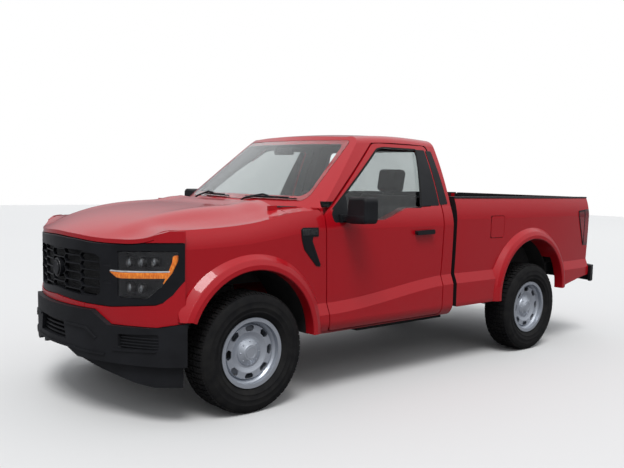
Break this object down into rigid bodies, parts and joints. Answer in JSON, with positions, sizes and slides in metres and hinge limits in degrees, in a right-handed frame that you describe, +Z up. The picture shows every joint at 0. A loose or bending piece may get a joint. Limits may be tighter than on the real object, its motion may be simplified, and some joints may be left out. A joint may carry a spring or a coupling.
{
  "type": "pickup truck",
  "caption": "Full-size regular-cab pickup truck with a short load box, steel wheels, opening doors, hood, tailgate and fuel door, rolling wheels and steering.",
  "frame": {"origin": "on the ground, under the middle of the overall length and width", "axes": "+X forward, +Y to the truck's left, +Z up"},
  "size_m": [5.311, 2.43, 1.915],
  "materials": {
    "body_paint": "deep red metallic, clear coated",
    "black_plastic": "grained moulded plastic",
    "grille_plastic": "satin moulded plastic",
    "window_glass": "clear tinted",
    "lamp_lens": "clear moulded lens",
    "tail_lens": "red moulded lens",
    "tyre_rubber": "matt rubber",
    "wheel_steel": "silver painted steel",
    "chassis_steel": "black coated steel",
    "cast_metal": "bare casting",
    "exhaust_steel": "dull steel",
    "seat_cloth": "woven cloth",
    "cabin_plastic": "soft grained plastic"
  },
  "bodies": {
    "chassis": {"front_suspension": "chassis_steel", "rear_axle": "chassis_steel", "rear_suspension": "chassis_steel", "frame_rails": "chassis_steel", "frame_crossmembers": "chassis_steel", "engine_block": "cast_metal", "driveline": "cast_metal", "exhaust": "exhaust_steel", "fuel_tank": "black_plastic", "engine_bay": "chassis_steel", "wheel_liners": "black_plastic", "bumper_front": "black_plastic", "bumper_rear": "black_plastic", "front_panel": "body_paint", "grille": "grille_plastic", "headlamps": "lamp_lens", "fender_left": "body_paint", "fender_right": "body_paint", "cowl": "black_plastic", "cab": "body_paint", "cab_glass": "window_glass", "dashboard": "cabin_plastic", "seat": "seat_cloth", "bed_floor": "body_paint", "bed_side_left": "body_paint", "bed_side_right": "body_paint", "bed_rail_caps": "black_plastic", "tail_lamps": "tail_lens", "spare_wheel": "tyre_rubber"},
    "knuckle_left": {"knuckle_left": "cast_metal"},
    "knuckle_right": {"knuckle_right": "cast_metal"},
    "wheel_front_left": {"tyre_front_left": "tyre_rubber", "rim_front_left": "wheel_steel"},
    "wheel_front_right": {"tyre_front_right": "tyre_rubber", "rim_front_right": "wheel_steel"},
    "wheel_rear_left": {"tyre_rear_left": "tyre_rubber", "rim_rear_left": "wheel_steel"},
    "wheel_rear_right": {"tyre_rear_right": "tyre_rubber", "rim_rear_right": "wheel_steel"},
    "steering_wheel": {"steering_wheel": "cabin_plastic"},
    "steering_rods": {"steering_rods": "chassis_steel"},
    "door_left": {"door_left": "body_paint", "door_glass_left": "window_glass", "door_fittings_left": "black_plastic"},
    "door_right": {"door_right": "body_paint", "door_glass_right": "window_glass", "door_fittings_right": "black_plastic"},
    "hood": {"hood": "body_paint"},
    "tailgate": {"tailgate": "body_paint"},
    "fuel_door": {"fuel_door": "body_paint"}
  },
  "joints": [
    {"name": "steer_left", "type": "hinge", "parent": "chassis", "child": "knuckle_left", "pos_m": [1.7005, 0.786, 0.401], "axis": [0, 0, 1], "range_deg": [-32, 32]},
    {"name": "steer_right", "type": "hinge", "parent": "chassis", "child": "knuckle_right", "pos_m": [1.7005, -0.786, 0.401], "axis": [0, 0, 1], "range_deg": [-32, 32]},
    {"name": "steering_rods_slide", "type": "slide", "parent": "chassis", "child": "steering_rods", "axis": [0, 1, 0], "range_m": [-0.07, 0.07]},
    {"name": "steering_wheel_turn", "type": "hinge", "parent": "chassis", "child": "steering_wheel", "pos_m": [0.6355, 0.37, 1.13], "axis": [-0.9135, 0, 0.4067], "range_deg": [-515, 515]},
    {"name": "wheel_front_left_spin", "type": "hinge", "parent": "knuckle_left", "child": "wheel_front_left", "pos_m": [1.7005, 0.8585, 0.401], "axis": [0, 1, 0], "continuous": true},
    {"name": "wheel_front_right_spin", "type": "hinge", "parent": "knuckle_right", "child": "wheel_front_right", "pos_m": [1.7005, -0.8585, 0.401], "axis": [0, 1, 0], "continuous": true},
    {"name": "wheel_rear_left_spin", "type": "hinge", "parent": "chassis", "child": "wheel_rear_left", "pos_m": [-1.4185, 0.8675, 0.401], "axis": [0, 1, 0], "continuous": true},
    {"name": "wheel_rear_right_spin", "type": "hinge", "parent": "chassis", "child": "wheel_rear_right", "pos_m": [-1.4185, -0.8675, 0.401], "axis": [0, 1, 0], "continuous": true},
    {"name": "door_left_swing", "type": "hinge", "parent": "chassis", "child": "door_left", "pos_m": [0.9705, 0.953, 0.82], "axis": [0, 0, -1], "range_deg": [0, 65]},
    {"name": "door_right_swing", "type": "hinge", "parent": "chassis", "child": "door_right", "pos_m": [0.9705, -0.953, 0.82], "axis": [0, 0, 1], "range_deg": [0, 65]},
    {"name": "hood_lift", "type": "hinge", "parent": "chassis", "child": "hood", "pos_m": [1.332, 0, 1.33], "axis": [0, -1, 0], "range_deg": [0, 50]},
    {"name": "tailgate_drop", "type": "hinge", "parent": "chassis", "child": "tailgate", "pos_m": [-2.4685, 0, 0.846], "axis": [0, -1, 0], "range_deg": [0, 90]},
    {"name": "fuel_door_swing", "type": "hinge", "parent": "chassis", "child": "fuel_door", "pos_m": [-0.8045, 0.958, 1.16], "axis": [0, 0, -1], "range_deg": [0, 95]}
  ],
  "couplings": [
    {"joint": "steer_right", "follows": "steer_left", "ratio": 1},
    {"joint": "steering_rods_slide", "follows": "steer_left", "m_per_rad": -0.12335},
    {"joint": "steering_wheel_turn", "follows": "steer_left", "ratio": 16}
  ]
}
